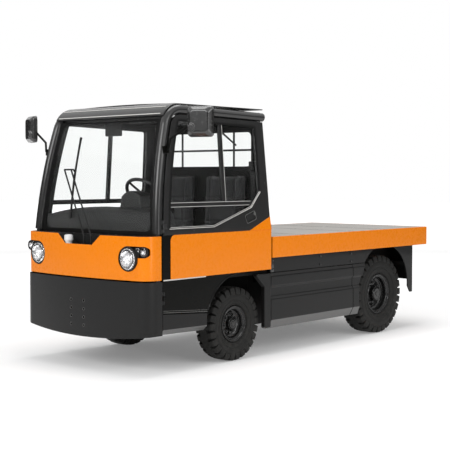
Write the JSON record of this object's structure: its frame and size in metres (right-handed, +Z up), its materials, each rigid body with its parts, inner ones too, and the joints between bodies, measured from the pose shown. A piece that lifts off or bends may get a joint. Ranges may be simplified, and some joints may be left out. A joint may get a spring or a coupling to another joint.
{
  "type": "platform truck",
  "caption": "Platform truck with a glazed cab, hinged side doors, steered front wheels and a flat load deck on a battery-driven chassis.",
  "frame": {"origin": "on the ground under the middle of the truck", "axes": "+X forward, +Y to the vehicle's left, +Z up"},
  "size_m": [3.56, 1.9466, 1.858],
  "materials": {
    "frame_black": "satin black paint",
    "body_grey": "satin dark grey paint",
    "orange": "gloss orange paint",
    "black_plastic": "grained black plastic",
    "glass": "clear",
    "lens": "clear",
    "red_lens": "moulded lens",
    "deck_plate": "satin light grey",
    "battery_case": "coated steel tray with cells",
    "seat_cloth": "woven cloth",
    "tyre": "rubber",
    "wheel_black": "satin black paint"
  },
  "bodies": {
    "truck": {"chassis_frame": "frame_black", "battery": "battery_case", "front_axle": "frame_black", "front_springs": "frame_black", "rear_axle": "frame_black", "rear_springs": "frame_black", "front_bumper": "body_grey", "front_panel": "orange", "cowl": "black_plastic", "cab_floor": "body_grey", "side_sills": "body_grey", "cab_frame": "body_grey", "roof_panel": "body_grey", "windscreen": "glass", "rear_wall": "body_grey", "rear_window": "glass", "rear_bars": "body_grey", "dashboard": "black_plastic", "pedals": "black_plastic", "seat_frames": "frame_black", "seat_cushions": "seat_cloth", "seat_backs": "seat_cloth", "headlamp_housings": "black_plastic", "headlamp_lenses": "lens", "wiper": "black_plastic", "mirror_arms": "black_plastic", "mirror_heads": "black_plastic", "side_skirts": "body_grey", "upper_side_panels": "body_grey", "rear_guards": "body_grey", "rear_panel": "body_grey", "tail_lamps": "red_lens", "tow_coupling": "frame_black", "deck_rails": "orange", "deck_bearers": "frame_black", "deck_plates": "deck_plate"},
    "door_left": {"door_left": "body_grey", "door_band_left": "orange", "door_glass_left": "glass"},
    "door_right": {"door_right": "body_grey", "door_band_right": "orange", "door_glass_right": "glass"},
    "knuckle_left": {"knuckle_left": "frame_black"},
    "knuckle_right": {"knuckle_right": "frame_black"},
    "tie_rod": {"tie_rod": "frame_black"},
    "front_wheel_left": {"front_tyre_left": "tyre", "front_rim_left": "wheel_black"},
    "front_wheel_right": {"front_tyre_right": "tyre", "front_rim_right": "wheel_black"},
    "rear_wheel_left": {"rear_tyre_left": "tyre", "rear_rim_left": "wheel_black"},
    "rear_wheel_right": {"rear_tyre_right": "tyre", "rear_rim_right": "wheel_black"},
    "steering_wheel": {"steering_wheel": "black_plastic"}
  },
  "joints": [
    {"name": "steer_left", "type": "hinge", "parent": "truck", "child": "knuckle_left", "pos_m": [0.81, 0.43, 0.27], "axis": [0, 0, 1], "range_deg": [-35, 35]},
    {"name": "steer_right", "type": "hinge", "parent": "truck", "child": "knuckle_right", "pos_m": [0.81, -0.43, 0.27], "axis": [0, 0, 1], "range_deg": [-35, 35]},
    {"name": "tie_rod_pivot", "type": "hinge", "parent": "knuckle_left", "child": "tie_rod", "pos_m": [0.68, 0.43, 0.2], "axis": [0, 0, 1], "range_deg": [-35, 35]},
    {"name": "steering_wheel_turn", "type": "hinge", "parent": "truck", "child": "steering_wheel", "pos_m": [1.33, 0.265, 1.182], "axis": [-0.7314, 0, 0.682], "range_deg": [-525, 525]},
    {"name": "front_left_spin", "type": "hinge", "parent": "knuckle_left", "child": "front_wheel_left", "pos_m": [0.81, 0.54, 0.27], "axis": [0, 1, 0], "continuous": true},
    {"name": "front_right_spin", "type": "hinge", "parent": "knuckle_right", "child": "front_wheel_right", "pos_m": [0.81, -0.54, 0.27], "axis": [0, 1, 0], "continuous": true},
    {"name": "rear_left_spin", "type": "hinge", "parent": "truck", "child": "rear_wheel_left", "pos_m": [-1.068, 0.525, 0.335], "axis": [0, 1, 0], "continuous": true},
    {"name": "rear_right_spin", "type": "hinge", "parent": "truck", "child": "rear_wheel_right", "pos_m": [-1.068, -0.525, 0.335], "axis": [0, 1, 0], "continuous": true},
    {"name": "door_left_swing", "type": "hinge", "parent": "truck", "child": "door_left", "pos_m": [1.577, 0.648, 0.9], "axis": [0, 0, -1], "range_deg": [0, 60]},
    {"name": "door_right_swing", "type": "hinge", "parent": "truck", "child": "door_right", "pos_m": [1.577, -0.648, 0.9], "axis": [0, 0, 1], "range_deg": [0, 60]}
  ],
  "couplings": [
    {"joint": "steer_right", "follows": "steer_left", "ratio": 1},
    {"joint": "tie_rod_pivot", "follows": "steer_left", "ratio": -1},
    {"joint": "steering_wheel_turn", "follows": "steer_left", "ratio": 15}
  ]
}
